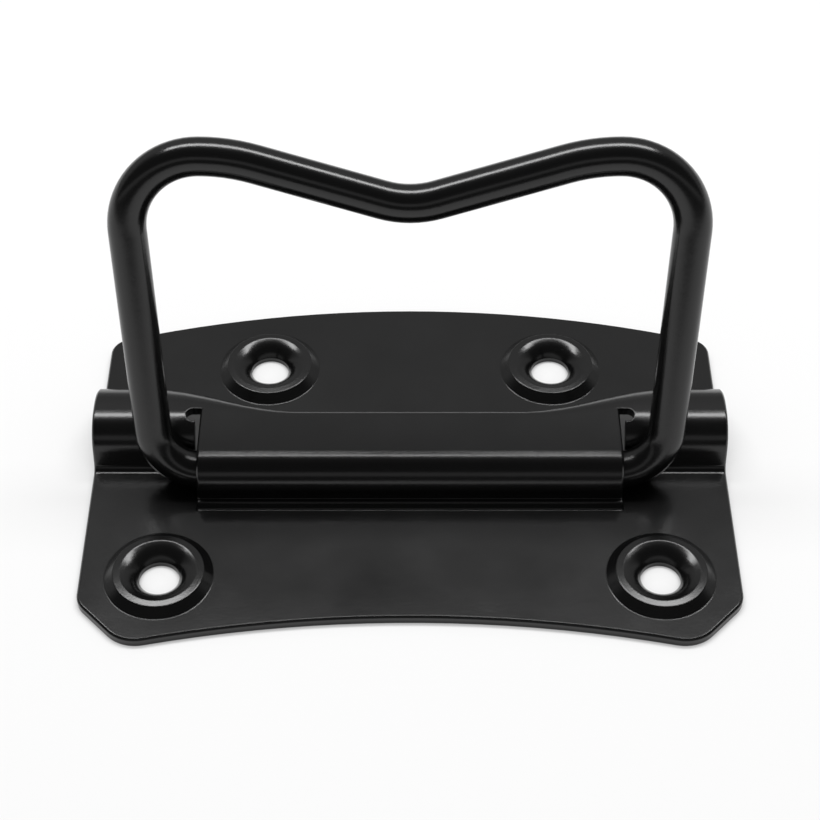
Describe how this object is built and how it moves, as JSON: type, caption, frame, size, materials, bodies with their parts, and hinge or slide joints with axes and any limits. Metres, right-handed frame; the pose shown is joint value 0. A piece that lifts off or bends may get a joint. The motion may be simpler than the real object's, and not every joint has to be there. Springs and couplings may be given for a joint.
{
  "type": "surface-mounted folding bail handle",
  "caption": "Pressed steel plate with a raised rolled bead and dished screw seats, holding a bent round-bar bail that folds down to the front.",
  "frame": {"origin": "middle of the plate's mounting face, which is the middle of the part's footprint", "axes": "+Z away from the mounting face, +X along the hinge line, -Y towards the edge the bail folds over"},
  "size_m": [0.104, 0.073, 0.0581],
  "materials": {
    "plate_coat": "satin black powder coat",
    "bail_coat": "satin black powder coat"
  },
  "bodies": {
    "plate": {"mounting_plate": "plate_coat"},
    "bail": {"bail_handle": "bail_coat"}
  },
  "joints": [
    {"name": "bail_fold", "type": "hinge", "parent": "plate", "child": "bail", "pos_m": [0, -0.0044, 0.00475], "axis": [1, 0, 0], "range_deg": [0, 103]}
  ]
}
